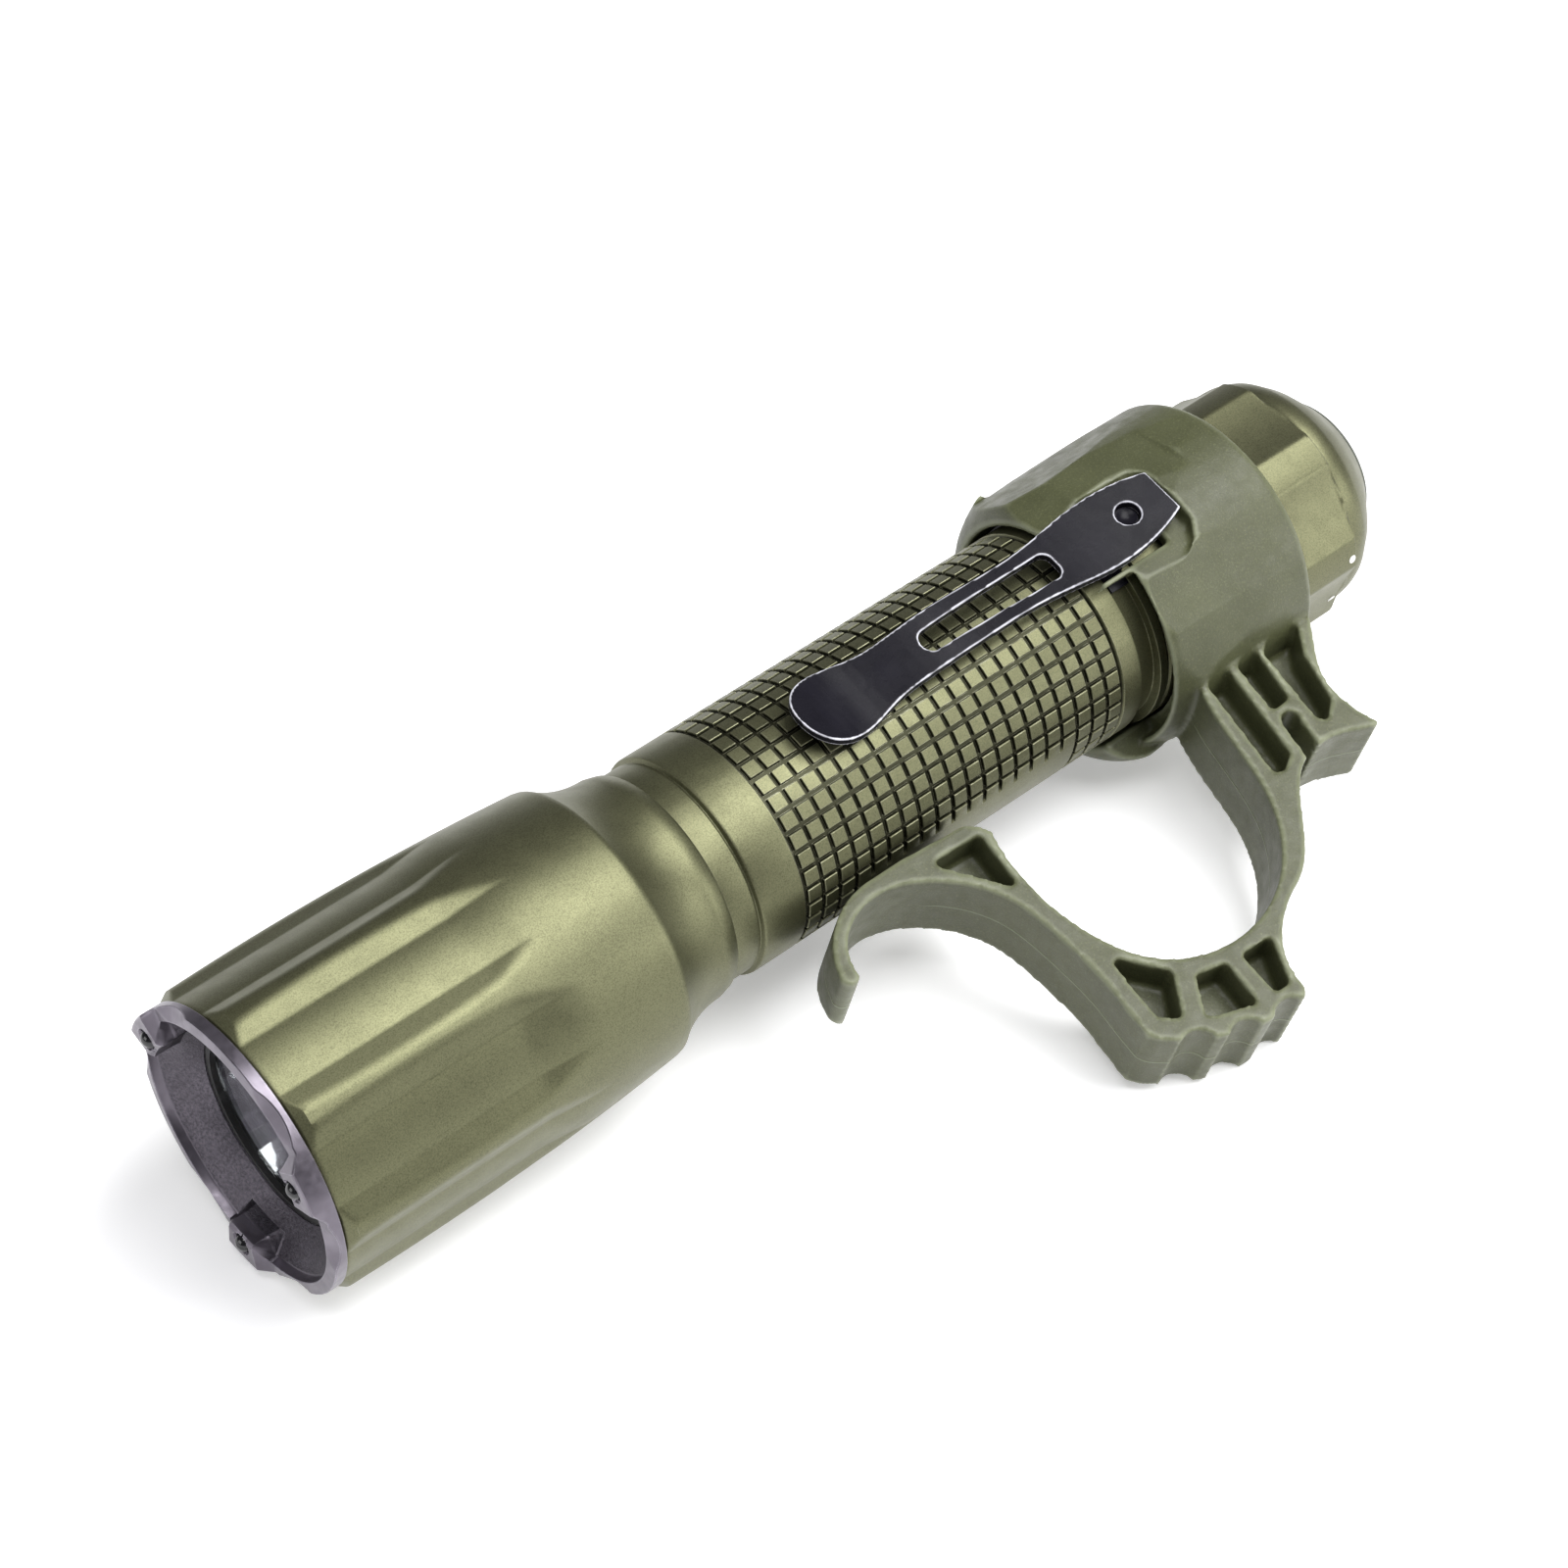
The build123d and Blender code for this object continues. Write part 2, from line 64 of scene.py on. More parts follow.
class Shader:
    """A material with a Principled surface and helpers to wire textures to it."""

    def __init__(self, name):
        self.mat = bpy.data.materials.new(name)
        self.mat.use_nodes = True
        self.tree = self.mat.node_tree
        self.bsdf = self.tree.nodes["Principled BSDF"]
        self.coords = self.node("ShaderNodeTexCoord").outputs["Object"]
        self.bump = None

    def node(self, kind, **settings):
        made = self.tree.nodes.new(kind)
        for key, value in settings.items():
            setattr(made, key, value)
        return made

    def link(self, source, target):
        self.tree.links.new(source, target)

    def set(self, **values):
        for key, value in values.items():
            self.bsdf.inputs[key.replace("_", " ")].default_value = value

    def noise(self, size_mm, detail=3.0, rough=0.5, seed=0.0):
        """Noise whose features are about size_mm across."""
        made = self.node("ShaderNodeTexNoise")
        made.inputs["Scale"].default_value = 1.0 / (size_mm * MM)
        made.inputs["Detail"].default_value = detail
        made.inputs["Roughness"].default_value = rough
        mapping = self.node("ShaderNodeMapping")
        mapping.inputs["Location"].default_value = (seed, seed * 0.7, seed * 1.3)
        self.link(self.coords, mapping.inputs["Vector"])
        self.link(mapping.outputs["Vector"], made.inputs["Vector"])
        return made.outputs["Fac"]

    def cells(self, size_mm):
        """Distance to the nearest edge of an irregular cell pattern."""
        made = self.node("ShaderNodeTexVoronoi", feature="DISTANCE_TO_EDGE")
        made.inputs["Scale"].default_value = 1.0 / (size_mm * MM)
        self.link(self.coords, made.inputs["Vector"])
        return made.outputs["Distance"]

    def remap(self, source, low, high, to_low=0.0, to_high=1.0):
        """Clamped straight-line map of low..high onto to_low..to_high."""
        made = self.node("ShaderNodeMapRange")
        made.inputs["From Min"].default_value = low
        made.inputs["From Max"].default_value = high
        made.inputs["To Min"].default_value = to_low
        made.inputs["To Max"].default_value = to_high
        self.link(source, made.inputs["Value"])
        return made.outputs["Result"]

    def math(self, operation, a, b=None):
        made = self.node("ShaderNodeMath", operation=operation)
        for index, value in enumerate((a, b)):
            if value is None:
                continue
            if isinstance(value, (int, float)):
                made.inputs[index].default_value = value
            else:
                self.link(value, made.inputs[index])
        return made.outputs[0]

    def mix(self, factor, a, b):
        """Colour a where factor is 0, colour b where it is 1."""
        made = self.node("ShaderNodeMix", data_type="RGBA")
        self.link(factor, made.inputs["Factor"])
        for socket, value in ((made.inputs[6], a), (made.inputs[7], b)):
            if isinstance(value, tuple):
                socket.default_value = (*value[:3], 1.0)
            else:
                self.link(value, socket)
        return made.outputs[2]

    def axes(self):
        """The three coordinates in the shared frame, in metres."""
        made = self.node("ShaderNodeSeparateXYZ")
        self.link(self.coords, made.inputs[0])
        return made.outputs[0], made.outputs[1], made.outputs[2]

    def radius(self):
        """Distance from the beam axis, in metres."""
        y, z = self.axes()[1:]
        return self.math("SQRT", self.math("ADD", self.math("MULTIPLY", y, y), self.math("MULTIPLY", z, z)))

    def rims(self, low, high):
        """1 on the rounded rims of a softened piece, 0 on open faces."""
        return self.remap(self.node("ShaderNodeAttribute", attribute_name="rim").outputs["Fac"], low, high)

    def edges(self, radius_mm, low=0.02, high=0.25):
        """1 along sharp edges, 0 on open faces."""
        bevel = self.node("ShaderNodeBevel", samples=4)
        bevel.inputs["Radius"].default_value = radius_mm * MM
        geometry = self.node("ShaderNodeNewGeometry")
        dot = self.node("ShaderNodeVectorMath", operation="DOT_PRODUCT")
        self.link(bevel.outputs[0], dot.inputs[0])
        self.link(geometry.outputs["Normal"], dot.inputs[1])
        return self.remap(self.math("SUBTRACT", 1.0, dot.outputs["Value"]), low, high)

    def add_bump(self, height, distance_mm, strength=1.0):
        """Adds surface relief on top of any relief added before."""
        made = self.node("ShaderNodeBump")
        made.inputs["Strength"].default_value = strength
        made.inputs["Distance"].default_value = distance_mm * MM
        self.link(height, made.inputs["Height"])
        if self.bump is not None:
            self.link(self.bump, made.inputs["Normal"])
        self.bump = made.outputs["Normal"]

    def colour(self, source):
        self.link(source, self.bsdf.inputs["Base Color"])

    def rough(self, source):
        self.link(source, self.bsdf.inputs["Roughness"])

    def done(self):
        if self.bump is not None:
            self.link(self.bump, self.bsdf.inputs["Normal"])
        return self.mat


def scaled(colour, factor):
    return tuple(channel * factor for channel in colour[:3])


def plain(name, colour, metallic=0.0, rough=0.5, grain_mm=0.4, grain_depth_mm=0.01,
          mottle_mm=6.0, variation=0.12, wear=0.0, **sockets):
    """General finish: mottled colour, uneven gloss, fine grain and rubbed edges."""
    s = Shader(name)
    s.set(Metallic=metallic)
    blotch = s.noise(mottle_mm, 4.0)
    fine = s.noise(grain_mm, 2.0, seed=0.3)
    tone = s.mix(blotch, scaled(colour, 1 - variation), scaled(colour, 1 + variation))
    tone = s.mix(s.remap(fine, 0.55, 0.8, 0, 0.5), tone, scaled(colour, 1 + 2.5 * variation))
    if wear:
        wear_and_highlight = s.math("MULTIPLY", s.edges(0.25), s.remap(blotch, 0.35, 0.6, 0.3 * wear, wear))
        tone = s.mix(wear_and_highlight, tone, tuple(min(1.0, c * 2.2 + 0.06) for c in colour))
    s.colour(tone)
    gloss = s.noise(mottle_mm * 0.4, 3.0, seed=1.7)
    s.rough(s.remap(gloss, 0.3, 0.7, rough * 0.85, min(1.0, rough * 1.15)))
    s.add_bump(fine, grain_depth_mm, 0.6)
    s.set(**sockets)
    return s.done()


def anodised_green():
    """Bead-blasted olive anodising: metallic grain, painted shade in the knurl grooves, pale edges of painted
    highlight mixed with rubbed wear.
    """
    s = Shader("anodised_olive")
    s.set(Metallic=0.85, IOR=1.5)
    base = (0.112, 0.113, 0.062)
    blotch = s.noise(9.0, 3.0)
    speck = s.noise(0.16, 2.0, 0.7, seed=0.2)
    tone = s.mix(s.remap(blotch, 0.3, 0.7), scaled(base, 0.93), scaled(base, 1.07))
    tone = s.mix(s.remap(speck, 0.42, 0.62, 0.0, 0.55), tone, scaled(base, 1.5))
    tone = s.mix(s.remap(speck, 0.44, 0.3, 0.0, 0.5), tone, scaled(base, 0.55))
    x = s.axes()[0]
    # painted shade: the floors of the knurl grooves are darkened inside the knurled zone
    knurl = s.math("MULTIPLY", s.remap(x, -0.0611, -0.0612), s.remap(x, -0.1056, -0.1055))
    painted_groove_shade = s.math("MULTIPLY", knurl, s.remap(s.radius(), 0.01262, 0.01245))
    tone = s.mix(painted_groove_shade, tone, scaled(base, 0.3))
    # pale edges: painted highlight along the sharp edges, mixed with rubbed wear
    patchy = s.remap(s.noise(1.3, 4.0, seed=0.9), 0.38, 0.6, 0.25, 0.9)
    wear_and_highlight = s.math("MULTIPLY", s.edges(0.16, 0.03, 0.3), patchy)
    ahead_of_selector = s.remap(x, -0.128, -0.126)
    wear_and_highlight = s.math("MULTIPLY", wear_and_highlight, ahead_of_selector)
    tone = s.mix(wear_and_highlight, tone, (0.5, 0.5, 0.36))
    s.colour(tone)
    s.rough(s.remap(s.noise(2.2, 3.0, seed=1.1), 0.3, 0.7, 0.4, 0.46))
    s.add_bump(speck, 0.012, 0.55)
    return s.done()


def nylon_olive():
    """Moulded nylon: fine spark texture, painted highlight on the edges, a parting line at mid height."""
    s = Shader("nylon_olive")
    s.set(Specular_IOR_Level=0.4)
    base = (0.066, 0.071, 0.033)
    blotch = s.noise(7.0, 4.0)
    fine = s.noise(0.22, 3.0, 0.65, seed=0.4)
    tone = s.mix(s.remap(blotch, 0.3, 0.7), scaled(base, 0.88), scaled(base, 1.12))
    tone = s.mix(s.remap(fine, 0.55, 0.75, 0.0, 0.55), tone, scaled(base, 2.3))
    tone = s.mix(s.remap(fine, 0.45, 0.28, 0.0, 0.4), tone, scaled(base, 0.5))
    # painted highlight: the rounded rims are made lighter
    tone = s.mix(s.math("MULTIPLY", s.rims(0.03, 0.11), 0.6), tone, (0.26, 0.28, 0.18))
    y, z = s.axes()[1:]
    height = s.math("ADD", s.math("MULTIPLY", y, math.sin(TILT)), s.math("MULTIPLY", z, math.cos(TILT)))
    off = s.math("ABSOLUTE", height)
    outer = s.remap(y, 0.0165, 0.0175)
    line = s.math("MULTIPLY", s.remap(off, 0.00005, 0.00016, 1.0, 0.0), outer)
    tone = s.mix(s.math("MULTIPLY", line, 0.35), tone, (0.27, 0.31, 0.19))
    s.colour(tone)
    s.rough(s.remap(s.noise(1.5, 3.0, seed=2.1), 0.3, 0.7, 0.36, 0.5))
    s.add_bump(line, 0.06, 0.8)
    s.add_bump(fine, 0.035, 0.7)
    s.add_bump(s.noise(1.1, 3.0, seed=3.0), 0.03, 0.5)
    return s.done()


def clip_black():
    """Satin black coating, with painted highlight and rubbed wear along the rims."""
    s = Shader("clip_black")
    s.set(Metallic=0.0, IOR=1.5, Specular_IOR_Level=0.12)
    base = (0.008, 0.0075, 0.011)
    fine = s.noise(0.2, 3.0, 0.6)
    tone = s.mix(s.remap(s.noise(5.0, 4.0), 0.3, 0.7), scaled(base, 0.8), scaled(base, 1.3))
    tone = s.mix(s.remap(fine, 0.6, 0.8, 0.0, 0.5), tone, scaled(base, 3.0))
    # painted highlight along the rounded rims, mixed with rubbed wear
    patchy = s.remap(s.noise(2.5, 4.0, seed=0.6), 0.3, 0.55, 0.45, 1.0)
    wear_and_highlight = s.math("MULTIPLY", s.rims(0.035, 0.085), patchy)
    tone = s.mix(wear_and_highlight, tone, (0.62, 0.62, 0.68))
    s.colour(tone)
    s.rough(s.remap(s.noise(1.8, 3.0, seed=1.4), 0.3, 0.7, 0.24, 0.32))
    s.add_bump(fine, 0.008, 0.5)
    return s.done()


def bezel_grey():
    """Turned lilac-grey crown, gritty on the cone inside the mouth, bright rubbed edges."""
    s = Shader("bezel_grey")
    s.set(Metallic=0.9)
    base = (0.155, 0.14, 0.165)
    inside, behind_crown = s.remap(s.radius(), 0.01425, 0.0141), s.remap(s.axes()[0], -0.0011, -0.0014)
    cone = s.math("MULTIPLY", inside, behind_crown)
    grit = s.noise(0.3, 4.0, 0.7)
    tone = s.mix(s.remap(s.noise(3.0, 4.0), 0.3, 0.7), scaled(base, 0.85), scaled(base, 1.2))
    tone = s.mix(s.math("MULTIPLY", cone, s.remap(grit, 0.35, 0.65, 0.3, 1.0)), tone, scaled(base, 0.4))
    patchy = s.remap(s.noise(1.0, 4.0, seed=0.9), 0.35, 0.6, 0.25, 0.95)
    wear_and_highlight = s.math("MULTIPLY", s.edges(0.2, 0.02, 0.25), patchy)
    tone = s.mix(wear_and_highlight, tone, (0.5, 0.48, 0.54))
    s.colour(tone)
    s.rough(s.remap(s.noise(0.8, 3.0, seed=1.4), 0.3, 0.7, 0.28, 0.4))
    s.add_bump(s.math("MULTIPLY", cone, grit), 0.1, 0.8)
    s.add_bump(s.noise(0.12, 2.0, seed=2.0), 0.008, 0.5)
    return s.done()


def mirror_cup():
    """Vacuum metallised reflector, very slightly wavy."""
    s = Shader("mirror_cup")
    s.set(Metallic=1.0)
    s.colour(s.mix(s.noise(5.0, 3.0), (0.82, 0.83, 0.86), (0.93, 0.93, 0.94)))
    s.rough(s.remap(s.noise(1.2, 3.0, seed=0.8), 0.3, 0.7, 0.03, 0.06))
    s.add_bump(s.noise(3.0, 2.0, seed=1.5), 0.01, 0.2)
    return s.done()


def lens_glass():
    """Coated glass with a trace of dust."""
    s = Shader("lens_glass")
    s.set(Transmission_Weight=1.0, IOR=1.47, Coat_Weight=0.4, Coat_Roughness=0.02)
    s.colour(s.mix(s.noise(6.0, 3.0), (0.93, 0.98, 0.96), (0.98, 0.97, 1.0)))
    s.rough(s.remap(s.noise(0.5, 5.0, seed=0.8), 0.6, 0.8, 0.01, 0.08))
    return s.done()


def phosphor():
    """Yellow phosphor under a dome, with a faint die grid."""
    s = Shader("phosphor")
    s.set(Coat_Weight=1.0, Coat_Roughness=0.05)
    grid = s.node("ShaderNodeTexBrick", offset=0.0)
    grid.inputs["Scale"].default_value = 900.0
    grid.inputs["Mortar Size"].default_value = 0.03
    grid.inputs["Color1"].default_value = (0.8, 0.6, 0.08, 1)
    grid.inputs["Color2"].default_value = (0.85, 0.66, 0.1, 1)
    grid.inputs["Mortar"].default_value = (0.35, 0.25, 0.04, 1)
    turn = s.node("ShaderNodeMapping")
    turn.inputs["Rotation"].default_value = (0, math.pi / 2, 0)
    s.link(s.coords, turn.inputs["Vector"])
    s.link(turn.outputs["Vector"], grid.inputs["Vector"])
    s.colour(grid.outputs["Color"])
    s.rough(s.remap(s.noise(0.4, 3.0), 0.3, 0.7, 0.25, 0.4))
    s.add_bump(s.noise(0.15, 2.0), 0.01, 0.5)
    return s.done()


def circuit(name, mask):
    """Solder mask with pale tracks."""
    s = Shader(name)
    tracks = s.remap(s.cells(1.4), 0.05, 0.09)
    tone = s.mix(s.noise(2.0, 3.0), scaled(mask, 0.85), scaled(mask, 1.1))
    s.colour(s.mix(tracks, scaled(mask, 1.5), tone))
    s.rough(s.remap(s.noise(0.7, 3.0, seed=1.0), 0.3, 0.7, 0.3, 0.45))
    s.add_bump(tracks, 0.03, 0.6)
    return s.done()


FINISH = {
    "anodised_green": anodised_green(),
    "bezel_grey": bezel_grey(),
    "nylon_olive": nylon_olive(),
    "clip_black": clip_black(),
    "mirror_cup": mirror_cup(),
    "lens_glass": lens_glass(),
    "phosphor": phosphor(),
    "white_board": circuit("white_board", (0.62, 0.62, 0.58)),
    "green_board": circuit("green_board", (0.02, 0.11, 0.05)),
    "ceramic_black": plain("ceramic_black", (0.006, 0.006, 0.007), rough=0.06, grain_mm=0.4,
                           grain_depth_mm=0.0005, mottle_mm=1.0, variation=0.3, Specular_IOR_Level=0.6),
    "seal_rubber": plain("seal_rubber", (0.012, 0.012, 0.012), rough=0.55, grain_mm=0.25,
                         grain_depth_mm=0.02, variation=0.3),
    "brass": plain("brass", (0.62, 0.44, 0.2), metallic=1.0, rough=0.3, wear=0.4),
    "spring_steel": plain("spring_steel", (0.6, 0.52, 0.36), metallic=1.0, rough=0.25,
                          mottle_mm=1.5, wear=0.3),
    "steel": plain("steel", (0.5, 0.5, 0.5), metallic=1.0, rough=0.28, mottle_mm=2.0, wear=0.3),
    "cell_wrap": plain("cell_wrap", (0.03, 0.05, 0.08), rough=0.3, grain_mm=1.5,
                       grain_depth_mm=0.03, mottle_mm=9.0, Coat_Weight=0.6),
    "button_dark": plain("button_dark", (0.05, 0.055, 0.04), rough=0.5, grain_mm=0.3,
                         grain_depth_mm=0.03, variation=0.2, wear=0.3),
    "switch_black": plain("switch_black", (0.02, 0.02, 0.02), rough=0.5, variation=0.25),
}
MARK = plain("mark_white", (0.78, 0.78, 0.76), rough=0.45, grain_mm=0.15, mottle_mm=0.6)


# ------------------------------------------------------------------ mesh tools

def new_object(name, mesh, body, slot, *nodes, smooth_angle=32):
    """Puts a mesh in the scene as a piece that stands for CAD nodes."""
    obj = bpy.data.objects.new(name, mesh)
    bpy.context.collection.objects.link(obj)
    shade(obj, smooth_angle)
    mesh.materials.clear()
    mesh.materials.append(FINISH[slot])
    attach(obj, body)
    if nodes:
        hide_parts(*nodes)
    return obj


def shade(obj, angle):
    """Smooth faces with sharp creases over an angle, in degrees."""
    mesh = obj.data
    mesh.polygons.foreach_set("use_smooth", [True] * len(mesh.polygons))
    bm = bmesh.new()
    bm.from_mesh(mesh)
    for edge in bm.edges:
        edge.smooth = len(edge.link_faces) == 2 and edge.calc_face_angle(0) < math.radians(angle)
    bm.to_mesh(mesh)
    bm.free()


def densify(points, step):
    """Points along a polyline no further apart than step."""
    out = [points[0]]
    for a, b in zip(points, points[1:]):
        count = max(1, math.ceil(math.dist(a, b) / step))
        for k in range(1, count + 1):
            out.append((a[0] + (b[0] - a[0]) * k / count, a[1] + (b[1] - a[1]) * k / count))
    return out


def arc(a, middle, b, count=12):
    """Points on the circle through three (x, radius) points."""
    (ax, ay), (bx, by), (cx, cy) = a, middle, b
    aa, bb, cc = ax * ax + ay * ay, bx * bx + by * by, cx * cx + cy * cy
    d = 2 * (ax * (by - cy) + bx * (cy - ay) + cx * (ay - by))
    ux = (aa * (by - cy) + bb * (cy - ay) + cc * (ay - by)) / d
    uy = (aa * (cx - bx) + bb * (ax - cx) + cc * (bx - ax)) / d
    radius = math.hypot(ax - ux, ay - uy)
    start = math.atan2(ay - uy, ax - ux)
    span = math.atan2(cy - uy, cx - ux) - start
    via = (math.atan2(by - uy, bx - ux) - start) % (2 * math.pi)
    span %= 2 * math.pi
    if via > span:
        span -= 2 * math.pi
    turns = [start + span * k / count for k in range(count + 1)]
    return [(ux + radius * math.cos(turn), uy + radius * math.sin(turn)) for turn in turns]


def round_corners(points, radius, steps=3):
    """An (x, radius) polyline with small rounds at its inner corners; its two ends stay."""
    out = [points[0]]
    for k in range(1, len(points) - 1):
        p, here, n = (Vector(points[k + j]) for j in (-1, 0, 1))
        u, v = p - here, n - here
        cut = min(radius, u.length * 0.45, v.length * 0.45)
        turn = u.angle(v, math.pi)
        if cut < 1e-6 or turn > math.radians(150):
            out.append(tuple(here))
            continue
        a, b = here + u.normalized() * cut, here + v.normalized() * cut
        for j in range(steps + 1):
            t = j / steps
            out.append(tuple(a * (1 - t) ** 2 + here * 2 * t * (1 - t) + b * t * t))
    return out + [points[-1]]


def lathe(outline, angles, shape=None):
    """Closed surface of revolution of (x, radius) points in mm; shape(x, r, angle) may move a point."""
    x = np.array([p[0] for p in outline])[:, None] * np.ones(len(angles))[None, :]
    r = np.array([p[1] for p in outline])[:, None] * np.ones(len(angles))[None, :]
    a = np.ones(len(outline))[:, None] * np.array(angles)[None, :]
    if shape:
        x, r = shape(x, r, np.degrees(a))
    verts = np.stack([x, r * np.cos(a), r * np.sin(a)], axis=-1).reshape(-1, 3) * MM
    rows, cols = len(outline), len(angles)
    faces = []
    for i in range(rows):
        i2 = (i + 1) % rows
        for j in range(cols):
            j2 = (j + 1) % cols
            faces.append((i * cols + j, i * cols + j2, i2 * cols + j2, i2 * cols + j))
    mesh = bpy.data.meshes.new("lathe")
    mesh.from_pydata(verts.tolist(), [], faces)
    bm = bmesh.new()
    bm.from_mesh(mesh)
    bmesh.ops.remove_doubles(bm, verts=bm.verts, dist=1e-7)
    bmesh.ops.recalc_face_normals(bm, faces=bm.faces)
    bm.to_mesh(mesh)
    bm.free()
    return mesh


def even(count):
    """Equally spaced angles round a full turn, in radians."""
    return [2 * math.pi * k / count for k in range(count)]


def soft_min(a, b, blend):
    """Smaller of two values, rounded where they cross."""
    h = np.clip(0.5 + 0.5 * (b - a) / blend, 0, 1)
    return b + (a - b) * h - blend * h * (1 - h)


def softened(node, voxel_mm, passes, name):
    """The CAD node's mesh with its corners rounded off by a fine remesh."""
    obj = bpy.data.objects.new(name, frame["nodes"][node].data.copy())
    bpy.context.collection.objects.link(obj)
    weld = obj.modifiers.new("weld", "WELD")
    weld.merge_threshold = 1e-6
    remesh = obj.modifiers.new("remesh", "REMESH")
    remesh.mode = "VOXEL"
    remesh.voxel_size = voxel_mm * MM
    smooth = obj.modifiers.new("smooth", "SMOOTH")
    smooth.factor = 0.5
    smooth.iterations = passes
    done = bpy.data.meshes.new_from_object(obj.evaluated_get(bpy.context.evaluated_depsgraph_get()))
    bpy.data.objects.remove(obj)
    done.name = name
    return done


def mark_rims(mesh):
    """Stores how strongly each point sticks out past its neighbours, averaged a little."""
    count = len(mesh.vertices)
    points = np.empty(count * 3)
    normals = np.empty(count * 3)
    pairs = np.empty(len(mesh.edges) * 2, dtype=np.int64)
    mesh.vertices.foreach_get("co", points)
    mesh.vertex_normals.foreach_get("vector", normals)
    mesh.edges.foreach_get("vertices", pairs)
    points, normals, pairs = points.reshape(-1, 3), normals.reshape(-1, 3), pairs.reshape(-1, 2)
    joined = np.bincount(pairs.ravel(), minlength=count).clip(1)

    first, second = pairs[:, 0], pairs[:, 1]

    def around(values):
        total = np.bincount(first, values[second], count) + np.bincount(second, values[first], count)
        return total / joined

    step = np.linalg.norm(points[first] - points[second], axis=1).mean()
    mean = np.stack([around(points[:, k]) for k in range(3)], axis=1)
    rim = ((points - mean) * normals).sum(axis=1) / step
    for _ in range(4):
        rim = 0.5 * rim + 0.5 * around(rim)
    mesh.attributes.new("rim", "FLOAT", "POINT").data.foreach_set("value", rim.astype(np.float32))


# ------------------------------------------------------------------ head

FLUTE_PITCH = 45
FLUTE_TURN = 29.5
FLUTE_FLOOR = 15.65
FLUTE_RAMP_R = 14.98
FLUTE_RAMP_SLOPE = 0.1228
FLUTE_RUNOUT_X = -26.0
FLUTE_RUNOUT_SLOPE = 0.102


def head_mesh():
    crest = arc((-3.0, 16.5), (-22, 16.6), (-43.3, 15.45), 64)
    neck = arc((-43.75, 15.35), (-46.6, 13.75), (-50.8, 12.95), 20)
    outline = crest + neck + densify([(-52.0, 12.65), (-52.35, 12.4), (-52.35, 11.4)], 0.3)
    outline += [(-43.8, 11.4), (-43.8, 12.6), (-9.4, 12.6), (-9.4, 14.25), (-1.9, 14.25)]
    outline += densify([(-1.9, 15.45), (-2.1, 15.75), (-3.0, 16.5)], 0.25)[:-1]

    def flutes(x, r, deg):
        half = FLUTE_PITCH / 2
        rad = np.radians(np.abs((deg - FLUTE_TURN + half) % FLUTE_PITCH - half))
        ramp = FLUTE_RAMP_R / (np.cos(rad) - FLUTE_RAMP_SLOPE * np.sin(rad))
        cut = np.maximum(FLUTE_FLOOR, ramp)
        cut = cut + np.clip(FLUTE_RUNOUT_X - x, 0, None) * FLUTE_RUNOUT_SLOPE
        outer = r > 14.9
        return x, np.where(outer & (cut < r + 0.2), soft_min(r, cut, 0.3), r)

    return lathe(outline, even(432), flutes)


new_object("head_fluted", head_mesh(), "flashlight", "anodised_green", "head_housing")


# ------------------------------------------------------------------ tube

TUBE_R = 12.7
KNURL_START = -61.3
PITCH = 2.2
COLUMNS = 20
ROWS = 37
ROW_PHASE = 42.8
FLOOR_HALF = 0.23
DEPTH = 0.42
PANEL_COLUMNS = (3, 17)
PANEL_ANGLES = (-44, -1.5)


def tooth_steps(pitch):
    """Sample positions across one tile, from groove middle to groove middle."""
    near = [0.0, FLOOR_HALF, FLOOR_HALF + 0.04, FLOOR_HALF + 0.09]
    return near + [pitch / 2] + [pitch - s for s in reversed(near[1:])]


def groove_depth(distance):
    """Depth below the tile top at a distance from a groove's middle, in mm."""
    return np.interp(distance, [FLOOR_HALF, FLOOR_HALF + 0.04, FLOOR_HALF + 0.09], [DEPTH, 0.05, 0.0])


